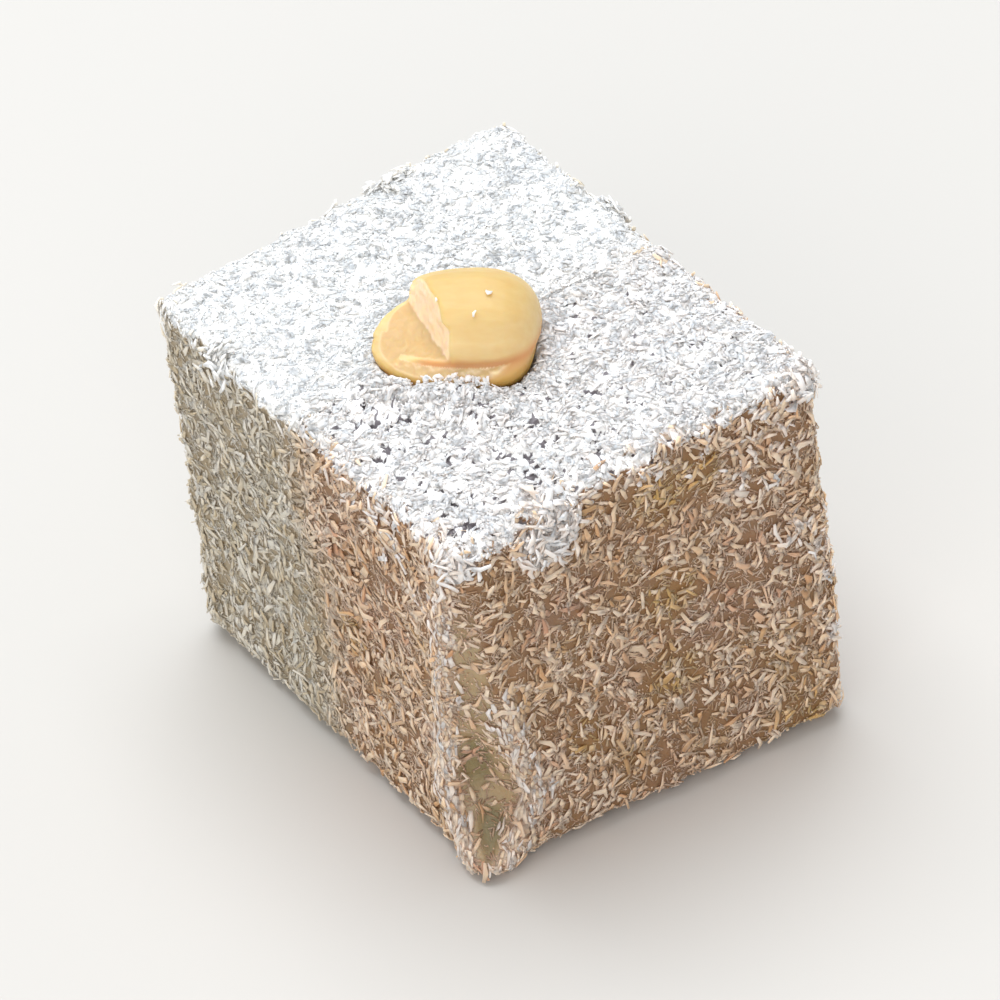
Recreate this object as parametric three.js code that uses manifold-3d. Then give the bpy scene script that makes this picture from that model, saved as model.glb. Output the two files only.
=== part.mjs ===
// A cube of Turkish delight: two layers of soft lokum pressed side by side, one amber and one milky
// white, rolled in desiccated coconut, with a broken hazelnut kernel pressed into the top.
//
// Millimetres, +Z up. X runs along the seam between the layers, Y runs across it, from the amber
// layer (-Y) to the white one (+Y). The origin is at the middle of the base, which is flat.

import * as THREE from "three";
import { mergeVertices } from "three/addons/utils/BufferGeometryUtils.js";
import Module from "manifold-3d";

const wasm = await Module();
wasm.setup();

// ---- driving dimensions ----------------------------------------------------------------------

const SWEET = { width: 29, depth: 35, height: 28.8 }; // X, Y over both layers and Z, under the coat
const EDGE_RADIUS = 1.5; // the cut edges are soft
const CELL = 1.7; // the surface is a grid of such cells, each with one flake of coconut over it
const UNEVEN = 0.14; // how far the grid's points stray, as a share of a cell

const WAVE = { length: 11, depth: 0.35 }; // the slow swell of soft faces
const CRUMB = { length: 1.3, depth: 0.22 }; // the fine coconut between the flakes, as bumps

// How far each corner strays from a true block. Sides are -1 or 1, and level is 0 at the base and 1
// at the top. The near corner of the base is squeezed in, and the one beside it spreads.
const CORNERS = [
  { x: -1, y: -1, level: 0, shift: [0.75, 0.65, 0] },
  { x: 1, y: -1, level: 0, shift: [0.2, -1.0, 0] },
  { x: -1, y: 1, level: 0, shift: [0.6, -0.4, 0] },
  { x: 1, y: 1, level: 0, shift: [0, 0, 0] },
  { x: -1, y: -1, level: 1, shift: [0, -0.5, -0.5] },
  { x: 1, y: -1, level: 1, shift: [0.2, 0.1, 0.3] },
  { x: -1, y: 1, level: 1, shift: [-0.4, 0, -0.2] },
  { x: 1, y: 1, level: 1, shift: [-0.6, 0.6, 0.3] },
];

// The upright edge between -X and -Y is pressed flat as by a thumb: widest a little above the base,
// at this share of the height, with a hollow down the middle. Above that it narrows, faster at first
// as closing is under 1.
const PINCH = { baseWidth: 0.6, width: 5.3, topWidth: 1.2, widestAt: 0.2, closing: 0.6, hollow: 0.9 };
// Under the flat the soft foot is squeezed out to a blunt toe: how far, from what height down, and
// how far it reaches to each side.
const TOE = { out: 1.7, height: 3.6, reach: 2.3 };

// A flake's crest, in shares of a cell: its length, how far it lies off the middle, and its greatest
// turn in degrees. Its ends stand out by lowest to highest.
const FLAKE = { shortest: 0.35, longest: 0.74, aside: 0.2, turn: 44, lowest: 0.05, highest: 0.7 };
const CLEAR = 0.3; // the gap between the nut and the layers it is pressed into

const NUT = {
  length: 10.8,
  radius: 4.15,
  flat: 0.92, // its radius upwards, as a share
  slip: [-0.35, -0.85], // how far its lower half has slipped from the upper one, along it and across
  rise: 1.7, // its seam above the top of the sweet
  place: [-2.13, -0.92], // on the top, from the middle of the sweet
  turn: -40, // degrees about Z: the broken end points to the far left
  fuller: 0.1, // how much thicker it grows towards the blunt end, as a share
  pointed: 0.06, // and how much thinner towards the tip
  boxy: 2.5, // 2 is an ellipse from the side, and more is squarer
  seamDepth: 0.28, // the groove between its two halves
  seamWidth: 0.55,
  ridges: 9, // shallow ones along it, as blanched kernels have
  ridgeHeight: 0.05,
};
const NUT_GRID = [30, 20]; // steps round the nut and along it
const BED_GRID = [20, 14]; // and of the hollow that it is pressed into
// What has broken off the upper half: all that lies past an upright face at this distance from the
// middle, which leans back and is turned by so many degrees, above one that slopes down to the tip.
// Both are rough, with lumps of this size and height.
const BREAK = { fromMiddle: 2.2, lean: 15, turn: 27, aboveSeam: 0.25, slope: 7, lump: 1.6, rough: 0.35 };
const BREAK_GRID = [7, 8, 6]; // steps along, across and up it

const WELD = 1e-4; // points nearer than this are one

// ---- numbers ---------------------------------------------------------------------------------

const { clamp, lerp, smoothstep, degToRad } = THREE.MathUtils;

// A random source that gives the same run of numbers from 0 to 1 each time.
function seeded(seed) {
  let state = seed;
  return () => {
    state = (state + 0x6d2b79f5) | 0;
    let t = Math.imul(state ^ (state >>> 15), 1 | state);
    t = (t + Math.imul(t ^ (t >>> 7), 61 | t)) ^ t;
    return ((t ^ (t >>> 14)) >>> 0) / 4294967296;
  };
}

// A fixed value from -1 to 1 for each whole-numbered place.
function lattice(x, y, z) {
  const s = Math.sin(x * 127.1 + y * 311.7 + z * 74.7) * 43758.5453;
  return 2 * (s - Math.floor(s)) - 1;
}

// Smooth noise from -1 to 1 that varies over about one unit.
function noise(x, y, z) {
  const [i, j, k] = [x, y, z].map(Math.floor);
  const [u, v, w] = [x - i, y - j, z - k].map((t) => t * t * (3 - 2 * t));
  const along = (b, c) => lerp(lattice(i, b, c), lattice(i + 1, b, c), u);
  const across = (c) => lerp(along(j, c), along(j + 1, c), v);
  return lerp(across(k), across(k + 1), w);
}

// ---- the soft surface ------------------------------------------------------------------------

const HALF = { x: SWEET.width / 2, y: SWEET.depth / 2 };

// How much the bumps stand out at a point of the plain block.
function lump(p) {
  const slow = noise(p.x / WAVE.length, p.y / WAVE.length, p.z / WAVE.length);
  const fine = noise(p.x / CRUMB.length, p.y / CRUMB.length + 40, p.z / CRUMB.length);
  return WAVE.depth * slow + CRUMB.depth * fine;
}

// Moves a point by its share of the corners' shifts. The seam's plane at Y 0 stays where it is.
function stray(p) {
  const level = clamp(p.z / SWEET.height, 0, 1);
  const [across, along] = [p.x / HALF.x, p.y / HALF.y];
  for (const { x, y, level: top, shift } of CORNERS) {
    const share = 0.5 * (1 + x * across) * (top ? level : 1 - level);
    p.x += shift[0] * share * 0.5 * (1 + y * along);
    p.y += shift[1] * share * Math.max(0, y * along);
    p.z += shift[2] * share * 0.5 * (1 + y * along);
  }
}

// Presses the near upright edge flat, with a hollow down the middle of the flat and a toe under it.
function pinch(p) {
  const level = clamp(p.z / SWEET.height, 0, 1);
  const { baseWidth, width: widest, topWidth, widestAt, closing, hollow } = PINCH;
  const width =
    level < widestAt
      ? lerp(baseWidth, widest, level / widestAt)
      : lerp(widest, topWidth, ((level - widestAt) / (1 - widestAt)) ** closing);
  const edge = new THREE.Vector3(-HALF.x, -HALF.y, p.z);
  stray(edge);
  const behind = (p.x - edge.x + p.y - edge.y) * Math.SQRT1_2;
  const aside = (p.x - edge.x - p.y + edge.y) * Math.SQRT1_2;
  const middle = clamp(1 - Math.abs(aside) / (width / 2), 0, 1);
  const depth = width / 2 + hollow * middle * (width / widest) ** 2;
  const pressed = Math.max(0, depth - behind);
  const nearToe = Math.exp(-(behind ** 2 + aside ** 2) / TOE.reach ** 2);
  const squeezed = TOE.out * nearToe * (1 - smoothstep(p.z, 0, TOE.height));
  const shift = (pressed - squeezed) * Math.SQRT1_2;
  p.add(new THREE.Vector3(shift, shift, 0));
}

// Takes a point of the plain block to its place in the soft sweet. A point on the block's surface
// also stands out by this much. The base stays flat.
function skin(p, rise = 0) {
  const core = new THREE.Vector3(
    clamp(p.x, EDGE_RADIUS - HALF.x, HALF.x - EDGE_RADIUS),
    clamp(p.y, EDGE_RADIUS - HALF.y, HALF.y - EDGE_RADIUS),
    clamp(p.z, EDGE_RADIUS, SWEET.height - EDGE_RADIUS),
  );
  const out = p.clone().sub(core);
  const nearness = Math.max(...out.toArray().map(Math.abs)) / EDGE_RADIUS; // 1 on the surface
  const moved = core.clone();
  if (nearness > 0) {
    out.normalize();
    const bump = (lump(p) + rise) * (1 - Math.max(0, -out.z));
    moved.addScaledVector(out, nearness * (EDGE_RADIUS + bump));
  }
  stray(moved);
  pinch(moved);
  return moved;
}

// ---- solids ----------------------------------------------------------------------------------

// A closed three.js geometry as a solid that can be joined and cut.
function solidOf(geometry) {
  const bare = geometry.clone();
  bare.deleteAttribute("normal");
  bare.deleteAttribute("uv");
  const merged = mergeVertices(bare, WELD);
  return new wasm.Manifold(
    new wasm.Mesh({
      numProp: 3,
      vertProperties: new Float32Array(merged.attributes.position.array),
      triVerts: new Uint32Array(merged.index.array),
    }),
  );
}

// The largest body of a solid as a three.js geometry. Scraps that a cut has left are dropped.
function geometryOf(solid) {
  const [body] = solid.decompose().sort((a, b) => b.volume() - a.volume());
  const { vertProperties, triVerts } = body.getMesh();
  return new THREE.BufferGeometry()
    .setAttribute("position", new THREE.BufferAttribute(vertProperties, 3))
    .setIndex(new THREE.BufferAttribute(triVerts, 1));
}

// Moves every vertex of a geometry by a function of its place.
function reshape(geometry, place) {
  const position = geometry.attributes.position;
  for (let i = 0; i < position.count; i++) {
    const p = place(new THREE.Vector3().fromBufferAttribute(position, i));
    position.setXYZ(i, p.x, p.y, p.z);
  }
  return geometry;
}

// ---- a layer and its coconut flakes ----------------------------------------------------------

// Moves a grid point of the plain block a little within the faces that it lies on.
function loosen(p) {
  const slip = (seed) => UNEVEN * CELL * noise(p.x / CELL + seed, p.y / CELL, p.z / CELL);
  const isBetween = (value, low, high) => value > low + WELD && value < high - WELD;
  const [x, y, z] = [slip(0), slip(50), slip(90)];
  return new THREE.Vector3(
    p.x + (isBetween(p.x, -HALF.x, HALF.x) ? x : 0),
    p.y + (isBetween(Math.abs(p.y), 0, HALF.y) ? y : 0),
    p.z + (isBetween(p.z, 0, SWEET.height) ? z : 0),
  );
}

// One layer as a plain block in a grid of cells. Side is -1 towards -Y and 1 towards +Y.
function plainBlock(side) {
  const cells = [SWEET.width, HALF.y, SWEET.height].map((length) => Math.round(length / CELL));
  const block = new THREE.BoxGeometry(SWEET.width, HALF.y, SWEET.height, ...cells);
  return reshape(block.translate(0, (side * HALF.y) / 2, SWEET.height / 2), loosen);
}

// The cells of a plain block, each as its four corners in order round it.
function cellsOf(block) {
  const { index, attributes } = block;
  const corner = (i) => new THREE.Vector3().fromBufferAttribute(attributes.position, index.getX(i));
  const cells = [];
  for (let i = 0; i < index.count; i += 6) {
    cells.push([corner(i), corner(i + 1), corner(i + 4), corner(i + 2)]);
  }
  return cells;
}

// The triangles of one coated cell: the flake's crest runs between its two ends, and its faces slope
// down to the cell's corners, steeper on the side that it lies nearer to.
function coatedCell(cell, random) {
  const corners = random() < 0.5 ? cell : [...cell.slice(1), cell[0]];
  const inside = (u, v) => {
    const near = corners[0].clone().lerp(corners[1], u);
    return near.lerp(corners[3].clone().lerp(corners[2], u), v);
  };
  const turn = degToRad(FLAKE.turn * lerp(-1, 1, random()));
  const half = 0.5 * lerp(FLAKE.shortest, FLAKE.longest, random());
  const aside = 0.5 + FLAKE.aside * lerp(-1, 1, random());
  const [start, end] = [-half, half].map((along) => {
    const crest = inside(0.5 + along * Math.cos(turn), aside + along * Math.sin(turn));
    return skin(crest, lerp(FLAKE.lowest, FLAKE.highest, random() ** 2));
  });
  const [a, b, c, d] = corners.map((p) => skin(p));
  const sides =
    turn > 0
      ? [[a, b, start], [b, end, start], [c, d, end], [d, start, end]]
      : [[a, b, end], [a, end, start], [c, d, start], [c, start, end]];
  return [[d, a, start], [b, c, end], ...sides];
}

// The triangles of a cell with no flake, as on the base and at the seam.
function bareCell(cell) {
  const [a, b, c, d] = cell.map((p) => skin(p));
  return [[a, b, c], [a, c, d]];
}

// One layer with its flakes, as a closed geometry.
function coatedLayer(side) {
  const random = seeded(side < 0 ? 11 : 23);
  const liesIn = (cell, axis) => cell.every((p) => Math.abs(p[axis]) < WELD);
  const isCoated = (cell) => !liesIn(cell, "z") && !liesIn(cell, "y");
  const faces = cellsOf(plainBlock(side)).flatMap((cell) =>
    isCoated(cell) ? coatedCell(cell, random) : bareCell(cell),
  );
  return new THREE.BufferGeometry().setFromPoints(faces.flat());
}

// ---- hazelnut --------------------------------------------------------------------------------

// A blanched kernel along X, blunt towards +X and pointed towards -X, with a groove at the seam of
// its two halves, which lies in the plane Z 0. Grow makes it larger all round.
function kernel(grid, grow = 0) {
  const ball = new THREE.SphereGeometry(1, ...grid).rotateZ(Math.PI / 2);
  return reshape(ball, (p) => {
    const squareness = Math.abs(p.x) ** NUT.boxy + Math.hypot(p.y, p.z) ** NUT.boxy;
    p.multiplyScalar(squareness ** (-1 / NUT.boxy));
    const taper = 1 + NUT.fuller * p.x - NUT.pointed * Math.max(0, -p.x) ** 3;
    const ridge = NUT.ridgeHeight * Math.cos(NUT.ridges * Math.atan2(p.z, p.y));
    const fromSeam = (p.z * NUT.radius) / NUT.seamWidth;
    const seam = NUT.seamDepth * Math.exp(-fromSeam * fromSeam);
    const radius = NUT.radius * taper + ridge - seam + grow;
    const [along, across] = p.z < -WELD ? NUT.slip : [0, 0];
    return new THREE.Vector3(
      p.x * (NUT.length / 2 + grow) + along,
      p.y * radius + across,
      p.z * radius * NUT.flat,
    );
  });
}

// The piece that is missing from the kernel's upper half, with the rough faces of a break.
function brokenOff() {
  const gone = new THREE.BoxGeometry(NUT.length, 3 * NUT.radius, 2 * NUT.radius, ...BREAK_GRID);
  reshape(gone, (p) => {
    const rough = BREAK.rough * noise(p.x / BREAK.lump, p.y / BREAK.lump, p.z / BREAK.lump);
    return p.addScalar(rough);
  });
  gone.translate(-NUT.length / 2, 0, NUT.radius);
  reshape(gone, (p) => p.setX(p.x + p.z * Math.tan(degToRad(BREAK.lean))));
  gone.rotateY(degToRad(-BREAK.slope));
  gone.rotateZ(degToRad(BREAK.turn));
  return gone.translate(-BREAK.fromMiddle, 0, BREAK.aboveSeam);
}

// Sets a geometry made round the kernel's middle in its place on the sweet.
function onTop(geometry) {
  geometry.rotateZ(degToRad(NUT.turn));
  return geometry.translate(NUT.place[0], NUT.place[1], SWEET.height + NUT.rise);
}

// ---- the sweet -------------------------------------------------------------------------------

const nutSolid = solidOf(onTop(kernel(NUT_GRID))).subtract(solidOf(onTop(brokenOff())));
const nutBed = solidOf(onTop(kernel(BED_GRID, CLEAR)));

function layer(side) {
  return geometryOf(solidOf(coatedLayer(side)).subtract(nutBed));
}

function mesh(name, geometry, look) {
  const made = new THREE.Mesh(geometry, new THREE.MeshStandardMaterial({ metalness: 0, ...look }));
  made.name = name;
  return made;
}

const sweet = new THREE.Group();
sweet.add(mesh("amber_layer", layer(-1), { color: "#b08e6e", roughness: 0.75 }));
sweet.add(mesh("white_layer", layer(1), { color: "#efece2", roughness: 0.8 }));
sweet.add(mesh("hazelnut", geometryOf(nutSolid), { color: "#e6c17c", roughness: 0.45 }));

// The origin goes to the middle of the base, measured over flakes and all.
const box = new THREE.Box3().setFromObject(sweet);
const middle = box.getCenter(new THREE.Vector3());
sweet.position.set(-middle.x, -middle.y, -box.min.z);

export default sweet;
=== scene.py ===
"""A cube of Turkish delight, seen from close by.

Two layers of soft lokum are pressed side by side, one amber and one milky white. The block is cut,
rolled in desiccated coconut, and a broken blanched hazelnut is pressed into its top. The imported
solids give each layer's and the nut's form and place; lengths here are in metres.
"""

import math

import bmesh
import bpy
import numpy as np
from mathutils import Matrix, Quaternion, Vector, noise
from mathutils.bvhtree import BVHTree


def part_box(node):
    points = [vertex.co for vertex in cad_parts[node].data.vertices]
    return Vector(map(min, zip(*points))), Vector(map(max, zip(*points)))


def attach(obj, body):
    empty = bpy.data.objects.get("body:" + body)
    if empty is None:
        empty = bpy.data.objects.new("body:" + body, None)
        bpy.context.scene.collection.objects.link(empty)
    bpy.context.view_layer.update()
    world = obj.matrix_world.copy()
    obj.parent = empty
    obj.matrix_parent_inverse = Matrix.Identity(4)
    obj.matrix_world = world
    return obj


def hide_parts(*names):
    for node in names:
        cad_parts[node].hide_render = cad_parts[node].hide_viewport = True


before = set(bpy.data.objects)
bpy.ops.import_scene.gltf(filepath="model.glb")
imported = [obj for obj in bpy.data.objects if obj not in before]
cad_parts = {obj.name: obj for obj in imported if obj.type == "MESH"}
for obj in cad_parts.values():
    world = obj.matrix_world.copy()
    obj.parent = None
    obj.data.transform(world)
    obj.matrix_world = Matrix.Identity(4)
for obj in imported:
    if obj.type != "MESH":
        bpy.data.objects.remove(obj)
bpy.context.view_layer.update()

# ---- driving sizes -----------------------------------------------------------------------------

MM = 0.001

AMBER, WHITE, HAZELNUT = "amber_layer", "white_layer", "hazelnut"
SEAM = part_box(AMBER)[1].y  # the plane where the layers meet
MIDDLE = np.array([0.02 * MM, SEAM, 0])  # the middle of the block's base

# The block as it was cut: along the seam, across both layers, and up.
SWEET = {"width": 29 * MM, "depth": 35 * MM, "height": 28.8 * MM}

WELD = 0.005 * MM  # points nearer than this are one
VOXEL = {"block": 0.22 * MM, "nut": 0.12 * MM}  # the grain of their surfaces
SOFTENING = {"block": 20, "nut": 16}  # rounds of smoothing, which take flakes and facets away
COAT = 0.25 * MM  # the jelly lies this far under the middle of its coat
PACKED = 0.15 * MM  # how thick the dust is packed on the top, under the flakes

# Lumps of two sizes on the block's skin: how high they are, how large, and a seed.
LUMPS = [(0.05 * MM, 0.9 * MM, 21), (0.04 * MM, 0.4 * MM, 22)]

# The top's coat thins out between these depths under the top, and these distances from the sides.
# The scallops of its border have a strength, a size and a seed.
TOP_COAT = {"depth": (3.5 * MM, 2 * MM), "from_sides": (1.2 * MM, 2.2 * MM)}
SCALLOPS = [(0.35, 3 * MM, 1), (0.2, 1.2 * MM, 10)]

# The cracks in the top's packed dust: their depth, the sizes that they bend and break off over, how
# wide they are and how far apart. There are fewer and fewer into the white layer and to the far end.
CRACK = {
    "depth": 0.3 * MM, "broad": 0.8 * MM, "long": 1.0 * MM, "width": 0.13, "apart": 0.06,
    "fewer": (SEAM - 1 * MM, SEAM + 3 * MM), "far_end": (-4 * MM, 10 * MM),
}  # fmt: skip

# The jelly takes up the other layer's colour near the seam: how much at most, how far from it, and
# how much the border waves over what length.
STAIN = {"most": 0.5, "reach": 3.2 * MM, "waves": 0.7 * MM, "size": 2.2 * MM}

# The near upright edge is pressed flat by a thumb: how wide the flat is at the base, where it is
# widest, and at the top, and where its corner lies at the base and the top. It ends between two
# distances behind the corner, and its bare look fades between two shares of the height.
PINCH = {
    "base": 0.6 * MM, "widest": 5.3 * MM, "top": 1.2 * MM, "widest_at": 0.2, "closing": 0.6,
    "behind": (4 * MM, 6 * MM), "fades": (0.65, 0.85),
}  # fmt: skip
NEAR_EDGE = np.array([(-13.75 * MM, -16.8 * MM), (-14.5 * MM, -17.95 * MM)])

# The raised lips beside the flat. The one to the right ends between these shares of the height.
RIDGE = {"rise": 0.3 * MM, "beyond": 0.5 * MM, "width": 0.65 * MM, "right_ends": (0.4, 0.55)}

# Dents in the flat where the coat is pressed in: how high and how far aside they are, half their
# height and half their width. Heights are shares of the sweet's, and the others of half the flat's.
DENTS = [(0.28, -0.3, 0.1, 0.6), (0.1, 0.1, 0.055, 0.6)]
DENT = 0.35 * MM

# The kernel, as it is placed on the sweet. Its local X runs from the tip to the blunt end.
KERNEL = {
    "length": 10.8 * MM, "radius": 4.15 * MM, "flat": 0.92, "slip": (-0.35 * MM, -0.85 * MM),
    "place": (-2.13 * MM, -0.92 * MM, 30.5 * MM), "turn": -40, "fuller": 0.1, "pointed": 0.06,
    "boxy": 2.5, "seam_depth": 0.28 * MM, "seam_width": 0.55 * MM,
}  # fmt: skip

# Its skin has fine lengthwise wrinkles: how high the coarse and the fine ones are, how long, and how
# many there are round it. Its broken face has lumps of two sizes, with a height, a size and a seed.
WRINKLE = {"coarse": 0.035 * MM, "fine": 0.02 * MM, "length": 3.2 * MM, "round": 9}
ROUGH = [(0.09 * MM, 0.55 * MM, 5), (0.05 * MM, 0.25 * MM, 6)]

# Where the kernel's colour changes: its broken face, its groove, and painted shade, darker
# towards its top to offset the strong light from above and at its lowest part. The heights are
# from its middle.
ON_KERNEL = {
    "broken": (0.12 * MM, 0.3 * MM),  # deeper than this under the whole kernel's skin
    "darkened_top": (1 * MM, 4 * MM), "foot": (-0.9 * MM, 0.2 * MM),
    "both_halves": (-3 * MM, -1.5 * MM),  # further along it than this
}  # fmt: skip

# Coconut is heaped against the nut: how high, most in this direction and least away from it, and
# how far out it slumps. It also lies on the ledge between the nut's halves, past a straight edge this
# far across from the middle. The ledge is where it is heaped higher than "ledge", and as near as that
# to the halves' meeting.
BANK = {
    "high": 1.3 * MM, "low": 0.25 * MM, "towards": (-0.87, -0.5), "turns": (0.45, 0.85),
    "slump": 2.5 * MM, "edge": 4.5 * MM, "across": (-0.67, -0.74), "ledge": 0.8 * MM,
}  # fmt: skip
NEAR_NUT = 7.2 * MM  # chips fill in between the flakes as far as this from its middle
BY_NUT = 0.03 * MM  # nothing comes nearer to the nut

# Desiccated coconut, from its shortest to its longest and so on: the flat flakes on the top, the
# chips by the nut, the shreds that stick to the sides, and the finest slivers.
FLAKE = {
    "length": (0.3 * MM, 1.2 * MM),
    "width": (0.15 * MM, 0.42 * MM),
    "thickness": (0.04 * MM, 0.09 * MM),
}
CHIP = {
    "length": (0.25 * MM, 0.7 * MM),
    "width": (0.15 * MM, 0.35 * MM),
    "thickness": (0.05 * MM, 0.12 * MM),
}
SHRED = {
    "length": (0.5 * MM, 1.6 * MM),
    "width": (0.16 * MM, 0.38 * MM),
    "thickness": (0.07 * MM, 0.15 * MM),
}
SLIVER = {
    "length": (0.35 * MM, 1.0 * MM),
    "width": (0.1 * MM, 0.24 * MM),
    "thickness": (0.05 * MM, 0.1 * MM),
}
CRUMB = (0.10 * MM, 0.24 * MM)  # the dust between the shreds, across

# How uneven flakes, chips and shreds are: the share that are broad and how much broader, where their
# middle lies, how full their two ends are, how far they bend aside and arch up as a share of their
# length, and how ragged their edges are.
UNEVEN = {
    "broad": 0.15, "broader": 1.5, "middle": 0.15, "start": (0.3, 0.95), "end": (0.2, 0.8),
    "bend": 0.13, "arch": (0.02, 0.06), "ragged": 0.25,
}  # fmt: skip

# How each kind is laid: how many lie on a square millimetre, how far they stand off the skin at most
# and how far they tilt, in degrees. The coat is finer and smoother on the white layer.
LAID = {
    "flakes on amber": (9, 0.12 * MM, 8), "flakes on white": (4, 0.06 * MM, 4),
    "chips by the nut": (14, 0.12 * MM, 10), "chips on its ledge": (20, 0.25 * MM, 12),
    "lobes": (9, 0.5 * MM, 30), "spilt": (6, 0.25 * MM, 18), "ridges": (9, 0.15 * MM, 10),
    "shreds on the sides": (2.4, 0.1 * MM, 14), "slivers on the sides": (9, 0.06 * MM, 10),
    "dust on the sides": (2, 0.08 * MM, 0),
    "dust on amber": (12, 0.18 * MM, 0), "dust on white": (24, 0.12 * MM, 0),
}  # fmt: skip
FLAKE_GAP = 0.03 * MM  # the flakes on the top stand at least this far off
LEDGE_GAP = 0.1 * MM  # and the chips on the ledge this far
SINK = 0.05 * MM  # slivers on the sides sink in as far as this
FROST = 2  # more that have spilt onto each square millimetre of the frosted patches

# How much of the jelly's colour each kind has taken up at least, and how much more at most.
SOAK = {
    "dry": (0, 0.1), "lobes": (0, 0.2), "spilt": (0.05, 0.4), "ridges": (0.1, 0.3),
    "dust on the sides": (0.3, 0.6),
}  # fmt: skip
LEAST_SOAK = 0.28  # of what has stuck to the sides

# Between which heights the coat changes: it is heaped on the top alone, what spills over the edges
# grows less downwards, it is drier at the rim, and shreds hang upright near the base.
LEVELS = {
    "heaped": (SWEET["height"] - 1.2 * MM, SWEET["height"] - 0.2 * MM),
    "spilt": (SWEET["height"] - 4.5 * MM, SWEET["height"] - 0.8 * MM),
    "rim": (SWEET["height"] - 2 * MM, SWEET["height"] - 0.6 * MM),
    "upright": (8 * MM, 20 * MM),
}
UPRIGHT = {"amber": 0.25, "white": 0.9}  # how far they turn upright there
CLUMPS = 0.9 * MM  # across the clumps that the coat on the sides lies in
SEED = 40  # of all the coat's random draws

# Across the patches where the coat is thicker or thinner, and where it has taken up more colour.
DRIFTS = {"broad": 3.5 * MM, "fine": 1.3 * MM, "soaked": 4 * MM}

# Patches of the coat, in millimetres: where the middle of each is, and how far it reaches. The lobes
# of the top's coat hang over its edges. The golden patches have less coconut, the frosted ones more.
LOBES = [
    (-6.8, -17.6, 26.2, 2.4), (-14.5, -17.7, 27.2, 1.9), (13.8, -17.2, 28.2, 1.6),
    (-14.7, 9.5, 27.9, 1.6), (14.6, 6.0, 27.8, 1.7), (4.0, 17.6, 27.8, 1.8),
]  # fmt: skip
GOLDEN = [
    (2.0, -17.6, 24.6, 2.6), (4.8, -17.6, 25.2, 2.0), (1.6, -17.6, 16.3, 2.4),
    (1.0, -17.6, 10.1, 2.4), (-5.3, -17.4, 8.1, 1.8), (10.5, -17.4, 0.6, 3.0),
    (-14.7, -3.3, 12.5, 2.2), (14.7, -9.0, 14.0, 3.0),
]  # fmt: skip
FROSTED = [
    (9.5, -17.6, 23.8, 3.2), (12.2, -17.5, 17.0, 2.2), (14.6, -17.4, 13.5, 2.4),
    (14.6, -17.2, 8.0, 2.0), (-14.6, -9.5, 25.5, 2.6), (-14.6, -12.5, 22.0, 1.8),
    (14.7, -2.0, 23.0, 2.5), (-12.8, -17.5, 11.3, 1.7), (-13.2, -16.9, 5.6, 1.2),
]  # fmt: skip
RAGGED = {"depth": 0.3, "size": 1.2 * MM}  # the borders of the patches
ON_NUT = [(-2.5, -3.7, 33.6), (-0.9, -3.0, 34.2), (-3.8, -1.2, 34.0)]  # chips on the nut
CHIP_LIFT = 0.15 * MM  # how far above the nut their middles are

# The jelly's colours, and how far red, green and blue light go into it, in millimetres.
AMBER_JELLY = {
    "pale": "#9a7246", "deep": "#7a5630", "pink": "#8e6c54", "bare": "#a88f6c", "dent": "#877854",
    "ridge": "#dcc4ac", "stain": "#98866c", "see_in": (2.2, 1.2, 0.6),
}  # fmt: skip
MILKY_JELLY = {
    "pale": "#a59479", "deep": "#8c7c63", "pink": "#a59479", "bare": "#a59479", "dent": "#a59479",
    "ridge": "#a59479", "stain": "#94744e", "see_in": (1.6, 1.4, 1.1),
}  # fmt: skip
ON_AMBER = {
    "dry": "#fbfbfa", "stuck": "#f4cbaa", "soaked": "#bf955c", "pink": "#c3947a", "stain": "#d0bba0",
}  # fmt: skip
ON_WHITE = {
    "dry": "#fcfcfb", "stuck": "#dfd2be", "soaked": "#b5a489", "pink": "#b5a489", "stain": "#caa480",
}  # fmt: skip
STUCK = 0.3  # the share of the jelly's colour at which coconut has the colour "stuck"

# The width of what is in view at the sweet's middle, and how far away the camera stands.
VIEW = {"azimuth": -30, "elevation": 39, "roll": -6.2, "distance": 0.85, "frame": 0.066}

# Each light's name, direction and height in degrees, distance, size, power and colour.
LIGHTS = [
    ("window", 165, 72, 0.9, 0.8, 10.0, "#f6faff"),
    ("fill", -44, 24, 1.0, 0.9, 5.2, "#fffdfa"),
]
LIT = Vector((0, 0, 0.015))  # they point here
ROOM = ("#f4f6f8", 0.66)  # the colour and the strength of the light from all round

# ---- small helpers -----------------------------------------------------------------------------


def only(piece):
    """Makes a piece the one selected, active object."""
    bpy.ops.object.select_all(action="DESELECT")
    piece.select_set(True)
    bpy.context.view_layer.objects.active = piece


def finish_with(piece, kind, **settings):
    """Adds a modifier to a piece and applies it."""
    only(piece)
    modifier = piece.modifiers.new(kind.lower(), kind)
    for name, value in settings.items():
        setattr(modifier, name, value)
    bpy.ops.object.modifier_apply(modifier=modifier.name)


def pick_faces(piece, wanted):
    """Selects the faces that wanted is true of, and no others. The piece is in edit mode."""
    bpy.ops.mesh.select_mode(type="FACE")
    bpy.ops.mesh.select_all(action="DESELECT")
    mesh = bmesh.from_edit_mesh(piece.data)
    for face in mesh.faces:
        face.select_set(wanted(face))
    bmesh.update_edit_mesh(piece.data)


def copy_of(solid):
    """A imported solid's shape as a new piece with welded points."""
    piece = bpy.data.objects.new(solid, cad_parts[solid].data.copy())
    piece.data.materials.clear()
    bpy.context.scene.collection.objects.link(piece)
    only(piece)
    bpy.ops.object.mode_set(mode="EDIT")
    bpy.ops.mesh.select_all(action="SELECT")
    bpy.ops.mesh.remove_doubles(threshold=WELD)
    bpy.ops.object.mode_set(mode="OBJECT")
    return piece


def points_of(piece, name="co"):
    """Where a piece's points are, or their normals."""
    values = np.empty(len(piece.data.vertices) * 3)
    piece.data.vertices.foreach_get(name, values)
    return values.reshape(-1, 3)


def set_points(piece, points):
    piece.data.vertices.foreach_set("co", points.ravel())
    piece.data.update()


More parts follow.
